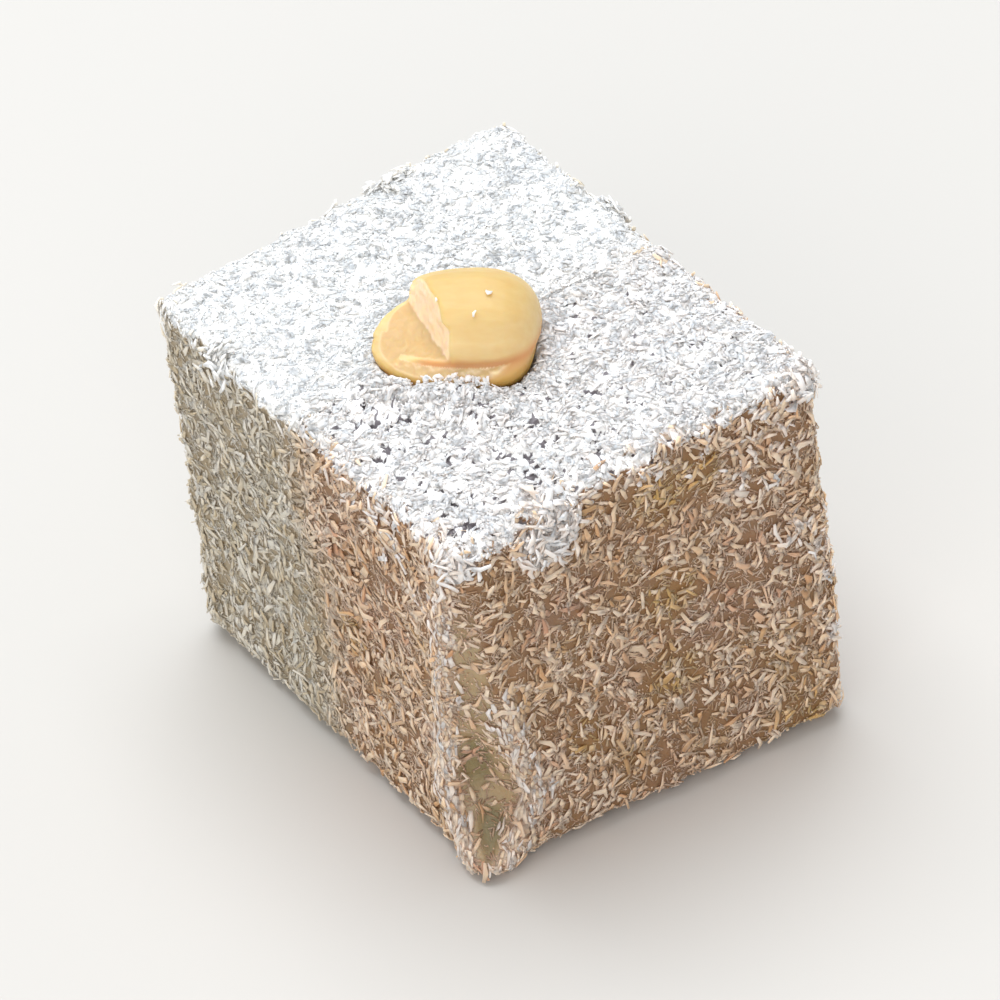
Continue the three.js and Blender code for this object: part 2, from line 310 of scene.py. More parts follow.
def mark(piece, name, values):
    """Keeps a value for each point of a piece, for its material to read."""
    piece.data.attributes.new(name, "FLOAT", "POINT").data.foreach_set("value", values)


def unit(vectors):
    return vectors / np.maximum(np.linalg.norm(vectors, axis=-1, keepdims=True), 1e-12)


def ease(values, low, high):
    """Goes smoothly from 0 at low to 1 at high."""
    t = np.clip((values - low) / (high - low), 0, 1)
    return t * t * (3 - 2 * t)


def mottle(points, size, seed):
    """A value from about -1 to 1 at each point that varies over about this size."""
    return np.array([noise.noise(Vector(p) / size + Vector((seed, 7 * seed, 0))) for p in points])


def lumpy(points, lumps):
    """How far each point rises on lumps given as their height, their size and a seed."""
    return sum(rise * mottle(points, size, seed) for rise, size, seed in lumps)


def gap_to(tree, points, reach):
    """How far points lie outside a closed shape, up to this reach, and the way out of it. The gap is
    negative inside."""
    gaps, ways = np.full(len(points), reach), np.zeros((len(points), 3))
    for i, p in enumerate(points):
        near, normal, _, away = tree.find_nearest(Vector(p), reach)
        if near is not None:
            gaps[i] = away if (Vector(p) - near).dot(normal) > 0 else -away
            ways[i] = normal
    return gaps, ways


# ---- where things are on the block -------------------------------------------------------------


def from_near_edge(points):
    """For each point its height as a share of the sweet's, how far aside of the pressed edge's middle
    it is, half the flat's width there, and 1 near the edge's corner but 0 far behind it."""
    level = np.clip(points[:, 2] / SWEET["height"], 0, 1)
    at, widest = PINCH["widest_at"], PINCH["widest"]
    above = np.clip((level - at) / (1 - at), 0, 1) ** PINCH["closing"]
    width = np.where(
        level < at,
        PINCH["base"] + (widest - PINCH["base"]) * level / at,
        widest + (PINCH["top"] - widest) * above,
    )
    corner = NEAR_EDGE[0] + (NEAR_EDGE[1] - NEAR_EDGE[0]) * level[:, None]
    offset = points[:, :2] - corner
    aside = (offset[:, 0] - offset[:, 1]) * math.sqrt(0.5)
    behind = (offset[:, 0] + offset[:, 1]) * math.sqrt(0.5)
    return level, aside, width / 2, 1 - ease(behind, *PINCH["behind"])


def pressed(points):
    """1 in the flat of the pressed edge, and 0 elsewhere."""
    level, aside, half, near = from_near_edge(points)
    return (1 - ease(np.abs(aside) / half, 0.6, 1.0)) * near * (1 - ease(level, *PINCH["fades"]))


def dented(points):
    """1 in the middle of the dents in the pressed edge, and 0 elsewhere."""
    level, aside, half, near = from_near_edge(points)
    most = np.zeros(len(points))
    for up, across, half_height, half_width in DENTS:
        away = np.hypot((level - up) / half_height, (aside / half - across) / half_width)
        most = np.maximum(most, 1 - ease(away, 0.5, 1.2))
    return most * near


def ridged(points):
    """1 along the lips beside the pressed edge, and 0 elsewhere."""
    level, aside, half, near = from_near_edge(points)
    lip = half + RIDGE["beyond"]
    left = np.exp(-(((aside + lip) / RIDGE["width"]) ** 2))
    right = np.exp(-(((aside - lip) / RIDGE["width"]) ** 2))
    return (left + right * (1 - ease(level, *RIDGE["right_ends"]))) * near


def cracked(points):
    """Above 0 in the short cracks in the top's packed coconut, and below 0 elsewhere. There are few
    on the white layer and towards the far end."""
    line = CRACK["width"] - np.abs(mottle(points, CRACK["broad"], 31))
    stretch = mottle(points, CRACK["long"], 32) - CRACK["apart"]
    fewer = 0.4 * ease(points[:, 1], *CRACK["fewer"])
    return np.minimum(line, 0.6 * stretch) - fewer - 0.05 * ease(points[:, 0], *CRACK["far_end"])


def nut_ring(points):
    """The direction of each point from the nut's middle, seen from above, and how far it is."""
    out = (points - np.array(KERNEL["place"]) - MIDDLE)[:, :2]
    return unit(out), np.linalg.norm(out, axis=1)


def banked(points):
    """How high coconut is heaped against the nut on this side of it."""
    towards, _ = nut_ring(points)
    rise = BANK["high"] - BANK["low"]
    return BANK["low"] + rise * ease(towards @ BANK["towards"], *BANK["turns"])


def in_patches(points, patches):
    """1 in patches with ragged borders, and 0 away from all of them."""
    ragged, most = RAGGED["depth"] * mottle(points, RAGGED["size"], 12), np.zeros(len(points))
    for *place, reach in patches:
        away = np.linalg.norm(points / MM - place, axis=1) / reach
        most = np.maximum(most, 1 - ease(away + ragged, 0.6, 1.2))
    return most


def stained(points):
    """How much of the other layer's colour each point has taken up: most at the seam."""
    from_seam = np.abs(points[:, 1] - SEAM) + STAIN["waves"] * mottle(points, STAIN["size"], 41)
    return STAIN["most"] * (1 - ease(from_seam, 0, STAIN["reach"]))


def rosy(points):
    """How pink rather than golden the amber layer and its coat are here, from 0 to 1."""
    return np.clip(0.75 + 0.6 * mottle(points, 4 * MM, 51) - 0.8 * in_patches(points, GOLDEN), 0, 1)


# ---- the two layers of lokum -------------------------------------------------------------------


def soft_block(nut_tree):
    """Both layers as one soft block under its coat, with the hollow that the nut is pressed into and
    the coconut that is banked up round it."""
    halves = [copy_of(AMBER), copy_of(WHITE)]
    for half in halves:
        only(half)
        bpy.ops.object.mode_set(mode="EDIT")
        pick_faces(half, lambda face: all(abs(v.co.y - SEAM) < WELD for v in face.verts))
        bpy.ops.mesh.delete(type="FACE")
        bpy.ops.object.mode_set(mode="OBJECT")
    only(halves[0])
    halves[1].select_set(True)
    bpy.ops.object.join()
    block = halves[0]
    bpy.ops.object.mode_set(mode="EDIT")
    bpy.ops.mesh.select_all(action="SELECT")
    bpy.ops.mesh.remove_doubles(threshold=4 * WELD)
    bpy.ops.object.mode_set(mode="OBJECT")
    finish_with(block, "REMESH", mode="VOXEL", voxel_size=VOXEL["block"])
    finish_with(block, "SMOOTH", factor=0.5, iterations=SOFTENING["block"])
    finish_with(block, "DISPLACE", strength=-COAT, mid_level=0.0)
    points, normals = points_of(block), points_of(block, "normal")
    top = topped(points, normals[:, 2])
    rise = lumpy(points, LUMPS) + (RIDGE["rise"] * ridged(points) - DENT * dented(points))
    rise += top * (PACKED - CRACK["depth"] * ease(cracked(points), -0.03, 0.05))
    points = points + normals * rise[:, None]
    gap, _ = gap_to(nut_tree, points, 2 * BANK["slump"])
    slumped = np.exp(-((np.maximum(gap, 0) / BANK["slump"]) ** 2))
    points[:, 2] += banked(points) * slumped * ease(points[:, 2], *LEVELS["heaped"])
    gap, away = gap_to(nut_tree, points, 1 * MM)
    set_points(block, points + away * np.maximum(BY_NUT - gap, 0)[:, None])
    return block


def topped(points, up):
    """1 where the thick dry coat of the top lies, and 0 on the sides. Its edge is scalloped. Up is the
    upward part of each point's normal."""
    upward = ease(up + lumpy(points, SCALLOPS), 0.3, 0.55)
    height = ease(points[:, 2], *[SWEET["height"] - depth for depth in TOP_COAT["depth"]])
    from_sides = np.array([SWEET["width"], SWEET["depth"]]) / 2 - np.abs(points - MIDDLE)[:, :2]
    well_in = ease(from_sides.min(1), *TOP_COAT["from_sides"])
    return np.maximum(np.maximum(upward, well_in) * height, in_patches(points, LOBES))


def layer_of(block, name, side):
    """The half of the block on one side of the seam, closed by a flat face there."""
    layer = block.copy()
    layer.data = block.data.copy()
    layer.name = name
    bpy.context.scene.collection.objects.link(layer)
    only(layer)
    bpy.ops.object.mode_set(mode="EDIT")
    bpy.ops.mesh.select_all(action="SELECT")
    bpy.ops.mesh.bisect(
        plane_co=(0, SEAM, 0), plane_no=(0, side, 0), use_fill=True, clear_inner=True
    )
    bpy.ops.object.mode_set(mode="OBJECT")
    bpy.ops.object.shade_smooth_by_angle(angle=math.radians(40))
    points, normals = points_of(layer), points_of(layer, "normal")
    mark(layer, "pressed", pressed(points))
    mark(layer, "dented", dented(points))
    mark(layer, "ridged", ridged(points))
    mark(layer, "dusted", topped(points, normals[:, 2]))
    mark(layer, "cracked", cracked(points))
    mark(layer, "stained", stained(points))
    mark(layer, "rosy", rosy(points))
    return layer


# ---- hazelnut ----------------------------------------------------------------------------------


def in_kernel(points):
    """Points in the kernel's own axes, how deep each lies under the whole kernel's skin, and how far
    round it, from -1 to 1."""
    turn = math.radians(KERNEL["turn"])
    p = points - np.array(KERNEL["place"]) - MIDDLE
    own = np.stack(
        [
            p[:, 0] * math.cos(turn) + p[:, 1] * math.sin(turn),
            p[:, 1] * math.cos(turn) - p[:, 0] * math.sin(turn),
            p[:, 2] / KERNEL["flat"],
        ],
        1,
    )
    own[:, :2] -= np.outer(own[:, 2] < -0.1 * MM, KERNEL["slip"])  # the lower half has slipped
    along = np.clip(own[:, 0] / (KERNEL["length"] / 2), -1, 1)
    taper = 1 + KERNEL["fuller"] * along - KERNEL["pointed"] * np.maximum(0, -along) ** 3
    radius = np.hypot(own[:, 1], own[:, 2])
    boxy = KERNEL["boxy"]
    out = (np.abs(along) ** boxy + (radius / (KERNEL["radius"] * taper)) ** boxy) ** (1 / boxy)
    return own, (1 - out) * KERNEL["radius"], np.arctan2(own[:, 2], own[:, 1]) / math.pi


def hazelnut():
    """The broken kernel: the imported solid's form with soft edges, lengthwise wrinkles in its skin and
    a rough broken face."""
    nut = copy_of(HAZELNUT)
    nut.name = "broken_hazelnut"
    finish_with(nut, "REMESH", mode="VOXEL", voxel_size=VOXEL["nut"])
    finish_with(nut, "SMOOTH", factor=0.5, iterations=SOFTENING["nut"])
    points = points_of(nut)
    own, deep, round_it = in_kernel(points)
    groove = KERNEL["seam_depth"] * np.exp(-((own[:, 2] / KERNEL["seam_width"]) ** 2))
    broken = ease(deep - groove, *ON_KERNEL["broken"])
    lengthwise, around = own[:, 0] / WRINKLE["length"], WRINKLE["round"] * round_it
    streaks = np.stack([lengthwise, around, np.zeros(len(points))], 1)
    wrinkle = WRINKLE["coarse"] * mottle(streaks, 1, 3) + WRINKLE["fine"] * mottle(3 * streaks, 1, 4)
    rise = wrinkle * (1 - broken) + lumpy(points, ROUGH) * broken
    set_points(nut, points + points_of(nut, "normal") * rise[:, None])
    only(nut)
    bpy.ops.object.shade_smooth()
    height = points[:, 2] - KERNEL["place"][2]
    # Painted shade: the kernel is darker towards its top, to offset the strong light from above.
    mark(nut, "darkened_top", ease(height, *ON_KERNEL["darkened_top"]) * (1 - broken))
    # Painted shade: the kernel is darker at its lowest part.
    mark(nut, "foot", 1 - ease(height, *ON_KERNEL["foot"]))
    mark(nut, "broken", broken)
    # Painted shade: the broken face is darker where it faces up, to offset the light from above.
    mark(nut, "upturned_break_shade", broken * ease(points_of(nut, "normal")[:, 2], 0.5, 0.9))
    between = (1 - broken) * ease(own[:, 0], *ON_KERNEL["both_halves"])
    mark(nut, "groove", between * groove / KERNEL["seam_depth"])
    return nut


# ---- desiccated coconut ------------------------------------------------------------------------


def skin_of(piece):
    """The triangles of a piece: their corners, the smooth normals there, their own normals, middles
    and areas."""
    mesh = piece.data
    mesh.calc_loop_triangles()
    index = np.empty(len(mesh.loop_triangles) * 3, np.int32)
    mesh.loop_triangles.foreach_get("vertices", index)
    corners = points_of(piece)[index].reshape(-1, 3, 3)
    normals = points_of(piece, "normal")[index].reshape(-1, 3, 3)
    cross = np.cross(corners[:, 1] - corners[:, 0], corners[:, 2] - corners[:, 0])
    return {
        "corners": corners,
        "normals": normals,
        "middles": corners.mean(1),
        "facing": unit(cross),
        "area": np.linalg.norm(cross, axis=1) / 2,
    }


def strewn(skin, density, dice):
    """Random spots on a skin, with their normals. Density is per square millimetre, for each of its
    triangles."""
    chance = skin["area"] * (np.maximum(density, 0) + 1e-9) / MM**2
    count = int(chance.sum())
    chosen = dice.choice(len(chance), count, p=chance / chance.sum())
    u, v = dice.random((2, count))
    flip = u + v > 1
    u[flip], v[flip] = 1 - u[flip], 1 - v[flip]
    weights = np.stack([1 - u - v, u, v], 1)[:, :, None]
    points = (skin["corners"][chosen] * weights).sum(1)
    return points, unit((skin["normals"][chosen] * weights).sum(1))


def shreds(kind, points, normals, lift, tilt, dice, hang=None):
    """Coconut shreds at these spots, as twelve points each: bent, tapered, angular slivers that lie
    within tilt degrees of the skin. Hang turns that share of each one's heading upright."""
    count = len(points)

    def between(pair, power=1.0):
        return pair[0] + (pair[1] - pair[0]) * dice.random(count) ** power

    length, thickness = between(kind["length"], 1.4), between(kind["thickness"])
    width = between(kind["width"], 1.3)
    width *= np.where(dice.random(count) < UNEVEN["broad"], UNEVEN["broader"], 1)
    slope = np.radians(tilt) * dice.normal(0, 0.5, count).clip(-1, 1)
    heading = unit(np.cross(dice.normal(size=(count, 3)), normals))
    if hang is not None:
        upright = np.where(heading[:, 2:] < 0, -1, 1) * np.array([0, 0, 1.0])
        heading = unit(heading * (1 - hang[:, None]) + upright * hang[:, None])
        heading = unit(heading - normals * (heading * normals).sum(1)[:, None])
    along = heading * np.cos(slope)[:, None] + normals * np.sin(slope)[:, None]
    across = unit(np.cross(normals, along))
    up = np.cross(along, across)
    centre = points + normals * (lift + 0.35 * length * np.abs(np.sin(slope)))[:, None]

    middles = dice.uniform(-UNEVEN["middle"], UNEVEN["middle"], count)
    stations = np.stack([np.full(count, -0.5), middles, np.full(count, 0.5)], 1)
    start, end = (dice.uniform(*UNEVEN[name], count) for name in ("start", "end"))
    fullness = np.stack([start, np.ones(count), end], 1)
    bend = length * dice.normal(0, UNEVEN["bend"], count)
    arch = length * dice.normal(*UNEVEN["arch"], count)
    sides = np.array([(-1, -1), (1, -1), (1, 1), (-1, 1)]) / 2
    rings = np.zeros((count, 3, 4, 3))
    for ring in range(3):
        middle = centre + along * (stations[:, ring] * length)[:, None]
        if ring == 1:
            middle = middle + across * bend[:, None] + up * arch[:, None]
        for corner, (y, z) in enumerate(sides):
            ragged = 1 + dice.uniform(-UNEVEN["ragged"], UNEVEN["ragged"], (count, 2))
            out = across * (y * width * fullness[:, ring] * ragged[:, 0])[:, None]
            out = out + up * (z * thickness * fullness[:, ring] * ragged[:, 1])[:, None]
            rings[:, ring, corner] = middle + out
    return rings.reshape(count, 12, 3)


def slivers(kind, points, normals, lift, tilt, dice):
    """The finest shreds at these spots, as six points each: three-sided and nearly flat on the skin."""
    count = len(points)
    length, width, thickness = (
        (low + (high - low) * dice.random(count))[:, None] for low, high in kind.values()
    )
    slope = math.radians(tilt) * dice.normal(0, 0.5, (count, 1)).clip(-1, 1)
    along = unit(np.cross(dice.normal(size=(count, 3)), normals)) + normals * np.sin(slope)
    across = unit(np.cross(normals, along))
    ends = np.zeros((count, 2, 3, 3))
    for end, step in enumerate((-0.5, 0.5)):
        full = dice.uniform(0.3, 1, (count, 1))
        middle = points + normals * lift[:, None] + along * length * step
        ends[:, end, 0] = middle - across * width * full / 2
        ends[:, end, 1] = middle + across * width * full / 2
        ends[:, end, 2] = middle + normals * thickness * full
    return ends.reshape(count, 6, 3)


def crumbs(points, normals, lift, dice):
    """Coconut dust at these spots, as six points each: uneven eight-sided grains."""
    count = len(points)
    reach = np.zeros((count, 6, 3))
    for tip in range(6):
        reach[:, tip, tip // 2] = (1, -1)[tip % 2] * dice.uniform(*CRUMB, count) / 2
    turn = unit(dice.normal(size=(count, 3)))
    side = unit(np.cross(dice.normal(size=(count, 3)), turn))
    axes = np.stack([turn, side, np.cross(turn, side)], 1)
    centre = points + normals * lift[:, None]
    return centre[:, None, :] + np.einsum("nki,nij->nkj", reach, axes)


def prism(sides, rings):
    """The triangles of a closed prism with this many sides and rings, whose points go ring by ring."""
    faces = []
    for ring in range(rings - 1):
        for side in range(sides):
            a, b = sides * ring + side, sides * ring + (side + 1) % sides
            faces += [(a, b, b + sides), (a, b + sides, a + sides)]
    last = sides * (rings - 1)
    for side in range(1, sides - 1):
        faces += [(0, side + 1, side), (last, last + side, last + side + 1)]
    return faces


# The faces of one grain of dust, whose points are two on each of three axes, and of each other kind.
GRAIN = [(4, 0, 2), (4, 2, 1), (4, 1, 3), (4, 3, 0), (5, 2, 0), (5, 1, 2), (5, 3, 1), (5, 0, 3)]
FACES = {"flakes": prism(4, 3), "shreds": prism(4, 3), "slivers": prism(3, 2), "dust": GRAIN}


def heap(name, places, faces, dress, soak):
    """Many small things with the same faces as one piece. Places has each one's points, and soak how
    much of the jelly's colour it has taken up. Each has a spot of its own on the piece's map."""
    count, each = places.shape[:2]
    middles = places.mean(1)
    places = places.copy()
    places[:, :, 2] = np.maximum(places[:, :, 2], 0)  # none goes through what the sweet rests on
    triangles = ((np.arange(count) * each)[:, None, None] + np.array(faces)).reshape(-1, 3)
    mesh = bpy.data.meshes.new(name)
    mesh.from_pydata(places.reshape(-1, 3), [], triangles.tolist(), shade_flat=False)
    cells = math.ceil(math.sqrt(count))
    spot = np.stack([np.arange(count) % cells, np.arange(count) // cells], 1)
    corners = np.tile([(0.15, 0.15), (0.85, 0.15), (0.5, 0.85)], (len(faces), 1))
    spread = (spot[:, None, :] + corners) / cells
    mesh.uv_layers.new(name="OFBake").uv.foreach_set("vector", spread.ravel())
    mesh.materials.append(dress)
    piece = bpy.data.objects.new(name, mesh)
    bpy.context.scene.collection.objects.link(piece)
    mark(piece, "soak", np.repeat(soak, each))
    mark(piece, "stained", np.repeat(stained(middles), each))
    mark(piece, "rosy", np.repeat(rosy(middles), each))
    return piece


def clear_of(tree, places):
    """Which of these small things lie wholly outside a closed shape and clear of it."""
    keep = np.ones(len(places), bool)
    near = gap_to(tree, places.mean(1), 1.5 * MM)[0] < 1.4 * MM
    corners = gap_to(tree, places[near].reshape(-1, 3), 1.5 * MM)[0].reshape(-1, places.shape[1])
    keep[near] = corners.min(1) > BY_NUT
    return keep


# ---- how the coat lies -------------------------------------------------------------------------


def coat(layer, slot, side, nut, nut_tree, dress):
    """The coconut on one layer: a thick dry coat of flakes on the top that spills over its edges,
    shreds and slivers on the sides that have sunk in and taken up the jelly's colour, and dust. Side
    is -1 for the amber layer and 1 for the white one."""
    skin, dice = skin_of(layer), np.random.default_rng(SEED + side)
    which = "white" if side > 0 else "amber"
    middles, up = skin["middles"], skin["facing"][:, 2]
    outside = np.abs(middles[:, 1] - SEAM) > 0.05 * MM
    broad = mottle(middles, DRIFTS["broad"], side + 2)
    fine = mottle(middles, DRIFTS["fine"], side + 5)
    top = outside * topped(middles, up)
    flank = outside * (1 - top) * (1 - 0.5 * ease(-up, 0.6, 0.9))
    golden, frosted = in_patches(middles, GOLDEN), in_patches(middles, FROSTED)
    high = ease(middles[:, 2], *LEVELS["spilt"])
    spill = flank * high**2 * np.clip(0.3 + 0.9 * broad + 0.7 * fine, 0, 1)
    laid = {"flakes": [], "shreds": [], "slivers": [], "dust": []}

    def spots(name, share, on=skin, more=0):
        """Where one kind lies, densest where its share is 1, how far each piece of it stands off, and
        how far they tilt."""
        density, rise, tilt = LAID[name]
        points, normals = strewn(on, density * share + more, dice)
        return points, normals, rise * dice.random(len(points)), tilt

    def lay(name, places, soak, in_cracks=True):
        keep = clear_of(nut_tree, places)
        if not in_cracks:
            sunk = cracked(places.reshape(-1, 3)).reshape(places.shape[:2]) > 0
            keep &= sunk.mean(1) < 0.2
        laid[name].append((places[keep], soak[keep]))

    def soaks(name, points):
        least, more = SOAK[name]
        return least + more * dice.random(len(points))

    # The dry flakes on the top lie flat. They leave its cracks free.
    density, rise, tilt = LAID[f"flakes on {which}"]
    points, normals = strewn(skin, density * top * (1 + 0.2 * broad), dice)
    lift = FLAKE_GAP + rise * dice.random(len(points)) ** 1.3
    places = shreds(FLAKE, points, normals, lift, tilt, dice)
    lay("flakes", places, soaks("dry", points), in_cracks=False)

    # Chips fill in beside the nut, and lie on the ledge between its halves where coconut is heaped.
    points, normals, lift, tilt = spots("chips by the nut", top * (nut_ring(middles)[1] < NEAR_NUT))
    lay("flakes", shreds(CHIP, points, normals, lift, tilt, dice), soaks("dry", points))
    bark = skin_of(nut)
    towards, away = nut_ring(bark["middles"])
    ledge = banked(bark["middles"]) > BANK["ledge"]
    ledge = ledge * (away * (towards @ BANK["across"]) > BANK["edge"])
    ledge = ledge * (np.abs(bark["middles"][:, 2] - KERNEL["place"][2] + 0.2 * MM) < BANK["ledge"])
    ledge = ledge * (side * (bark["middles"][:, 1] - SEAM) > 0) * (bark["facing"][:, 2] > -0.3)
    points, normals, lift, tilt = spots("chips on its ledge", ledge, bark)
    places = shreds(CHIP, points, unit(normals + (0, 0, 0.5)), BY_NUT + LEDGE_GAP + lift, tilt, dice)
    lay("flakes", places, soaks("dry", points))

    # A few chips lie on the nut, at the given spots.
    for spot in ON_NUT:
        near, normal, _, _ = nut_tree.find_nearest(MM * Vector(spot))
        if side * (near.y - SEAM) > 0:
            near, normal, lift = np.array([near]), np.array([normal]), np.array([CHIP_LIFT])
            lay("flakes", shreds(CHIP, near, normal, lift, 0, dice), np.array([0.0]))

    # The lobes are looser and stand out more.
    points, normals, lift, tilt = spots("lobes", outside * in_patches(middles, LOBES))
    lay("flakes", shreds(SHRED, points, normals, lift, tilt, dice), soaks("lobes", points))

    # What has spilled over the edges.
    points, normals, lift, tilt = spots("spilt", spill, more=FROST * flank * frosted)
    lay("shreds", shreds(SHRED, points, normals, lift, tilt, dice), soaks("spilt", points))

    # The lips beside the pressed edge: shreds along them, packed and pale.
    points, normals, lift, tilt = spots("ridges", ridged(middles) * flank)
    upright = 0.7 + 0.3 * dice.random(len(points))
    soak = soaks("ridges", points)
    lay("shreds", shreds(SHRED, points, normals, lift, tilt, dice, upright), soak)

    # The coat on the sides lies in clumps with barer spots between them. Low on the white layer it
    # hangs in upright streaks.
    def soaked(points, least):
        clump, patch = mottle(points, CLUMPS, side + 11), mottle(points, DRIFTS["soaked"], side + 7)
        share = least + (1 - least) * dice.random(len(points)) - 0.5 * clump + 0.25 * patch
        thick, rim = in_patches(points, FROSTED), ease(points[:, 2], *LEVELS["rim"])
        share = share - 0.2 * thick + 0.4 * dented(points) - 0.4 * rim
        return np.clip(share, LEAST_SOAK - 0.08 * thick - 0.2 * rim, 1)

    clumps = 1 + 0.4 * broad + 0.8 * mottle(middles, CLUMPS, side + 11)
    clumps = clumps * (1 - 0.3 * golden) * (1 - 0.4 * dented(middles)) * flank
    points, normals, lift, tilt = spots("shreds on the sides", clumps * (1 - 0.6 * pressed(middles)))
    low = 1 - ease(points[:, 2], *LEVELS["upright"])
    hang = low * dice.random(len(points)) * UPRIGHT[which]
    lay("shreds", shreds(SHRED, points, normals, lift, tilt, dice, hang), soaked(points, 0.15))

    # The finest slivers have sunk into the jelly everywhere.
    density, rise, tilt = LAID["slivers on the sides"]
    points, normals = strewn(skin, density * clumps * (1 - 0.3 * pressed(middles)), dice)
    lift = dice.uniform(-SINK, rise, len(points))
    lay("slivers", slivers(SLIVER, points, normals, lift, tilt, dice), soaked(points, 0.35))

    # Dust: little on the sides, and enough on the top to fill the gaps between the flakes.
    points, normals, lift, _ = spots("dust on the sides", flank)
    lay("dust", crumbs(points, normals, lift, dice), soaks("dust on the sides", points))
    points, normals, lift, _ = spots(f"dust on {which}", top)
    lay("dust", crumbs(points, normals, lift, dice), soaks("dry", points), in_cracks=False)

    for name, parts in laid.items():
        places, soak = (np.concatenate(rows) for rows in zip(*parts))
        piece = heap(f"coconut_{name}_on_{slot}", places, FACES[name], dress, soak)
        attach(piece, "root")


# ---- materials ---------------------------------------------------------------------------------


def linear(hex_colour):
    """An sRGB colour such as #ffffff as linear red, green, blue and alpha."""
    parts = [int(hex_colour[i : i + 2], 16) / 255 for i in (1, 3, 5)]
    return (*[c / 12.92 if c <= 0.04045 else ((c + 0.055) / 1.055) ** 2.4 for c in parts], 1.0)


def add(material, kind, inputs=None, **settings):
    """Adds a node to a material: its settings, and the value or link of each input."""
    node = material.node_tree.nodes.new(kind)
    for name, value in settings.items():
        setattr(node, name, value)
    for key, value in (inputs or {}).items():
        if isinstance(value, bpy.types.NodeSocket):
            material.node_tree.links.new(value, node.inputs[key])
        else:
            node.inputs[key].default_value = value
    return node


def blank(name):
    """A new material with no nodes."""
    material = bpy.data.materials.new(name)
    material.use_nodes = True
    material.node_tree.nodes.clear()
    return material


def blend_of(material, share, first, second, **settings):
    """The colour between two others: first at a share of 0, and second at 1."""
    settings = {"data_type": "RGBA", **settings}
    return add(material, "ShaderNodeMix", {0: share, 6: first, 7: second}, **settings).outputs[2]


def times(material, value, factor):
    """The product of two values."""
    return add(material, "ShaderNodeMath", {0: value, 1: factor}, operation="MULTIPLY").outputs[0]


def cloud(material, place, size, detail=2.0):
    """Noise with lumps of about this size."""
    settings = {"Vector": place, "Scale": 1 / size, "Detail": detail}
    return add(material, "ShaderNodeTexNoise", settings).outputs["Fac"]


def marked(material, name):
    """The value that a piece keeps for each of its points under this name."""
    return add(material, "ShaderNodeAttribute", attribute_name=name).outputs["Fac"]


def jelly(name, pale, deep, pink, bare, dent, ridge, stain, see_in):
    """Lokum, a jelly of starch and sugar: soft, a little moist, and light goes some way into it. Where
    a thumb has pressed the coat in, it looks bare and greyer, and the lips beside that are paler.
    Packed coconut dust covers its top, and its cracks are painted a dark grey as shade."""
    material = blank(name)
    place = add(material, "ShaderNodeTexCoord").outputs["Object"]
    colour = blend_of(material, cloud(material, place, 4 * MM, 3.0), linear(deep), linear(pale))
    colour = blend_of(material, times(material, marked(material, "rosy"), 0.6), colour, linear(pink))
    tints = {"stained": stain, "pressed": bare, "dented": dent, "ridged": ridge}
    for where, tint in tints.items():
        colour = blend_of(material, marked(material, where), colour, linear(tint))
    crack_shade = add(
        material,
        "ShaderNodeMapRange",
        {"Value": marked(material, "cracked"), "From Min": -0.02, "From Max": 0.02},
    )
    # The cracks are painted a dark grey, as shade between the flakes.
    packed = blend_of(material, crack_shade.outputs["Result"], linear("#f8f8f7"), linear("#6c666a"))
    colour = blend_of(material, marked(material, "dusted"), colour, packed)
    see_through = add(
        material,
        "ShaderNodeMapRange",
        {"Value": marked(material, "dusted"), "To Min": 0.5, "To Max": 0.0},
    )
    bump = add(
        material,
        "ShaderNodeBump",
        {"Height": cloud(material, place, 0.3 * MM, 3.0), "Strength": 0.8, "Distance": 0.12 * MM},
    )
    shader = add(
        material,
        "ShaderNodeBsdfPrincipled",
        {
            "Base Color": colour,
            "Roughness": 0.45,
            "IOR": 1.45,
            "Subsurface Weight": see_through.outputs["Result"],
            "Subsurface Radius": see_in,
            "Subsurface Scale": MM,
            "Normal": bump.outputs["Normal"],
        },
    )
    add(material, "ShaderNodeOutputMaterial", {"Surface": shader.outputs["BSDF"]})
    return material


def coconut(name, dry, stuck, soaked, pink, stain):
    """Desiccated coconut: white dry flesh, matt and a little waxy, that light goes through. What has
    stuck to the jelly takes up its colour."""
    material = blank(name)
    soak = marked(material, "soak")
    first = add(material, "ShaderNodeMapRange", {"Value": soak, "From Max": STUCK})
    rest = add(material, "ShaderNodeMapRange", {"Value": soak, "From Min": STUCK})
    hue = blend_of(material, marked(material, "rosy"), linear(soaked), linear(pink))
    colour = blend_of(material, first.outputs["Result"], linear(dry), linear(stuck))
    colour = blend_of(material, rest.outputs["Result"], colour, hue)
    amount = times(material, marked(material, "stained"), first.outputs["Result"])
    colour = blend_of(material, amount, colour, linear(stain))
    shader = add(
        material,
        "ShaderNodeBsdfPrincipled",
        {
            "Base Color": colour,
            "Roughness": 0.7,
            "IOR": 1.4,
            "Subsurface Weight": 0.75,
            "Subsurface Radius": (1.0, 0.9, 0.8),
            "Subsurface Scale": 0.6 * MM,
        },
    )
    add(material, "ShaderNodeOutputMaterial", {"Surface": shader.outputs["BSDF"]})
    return material


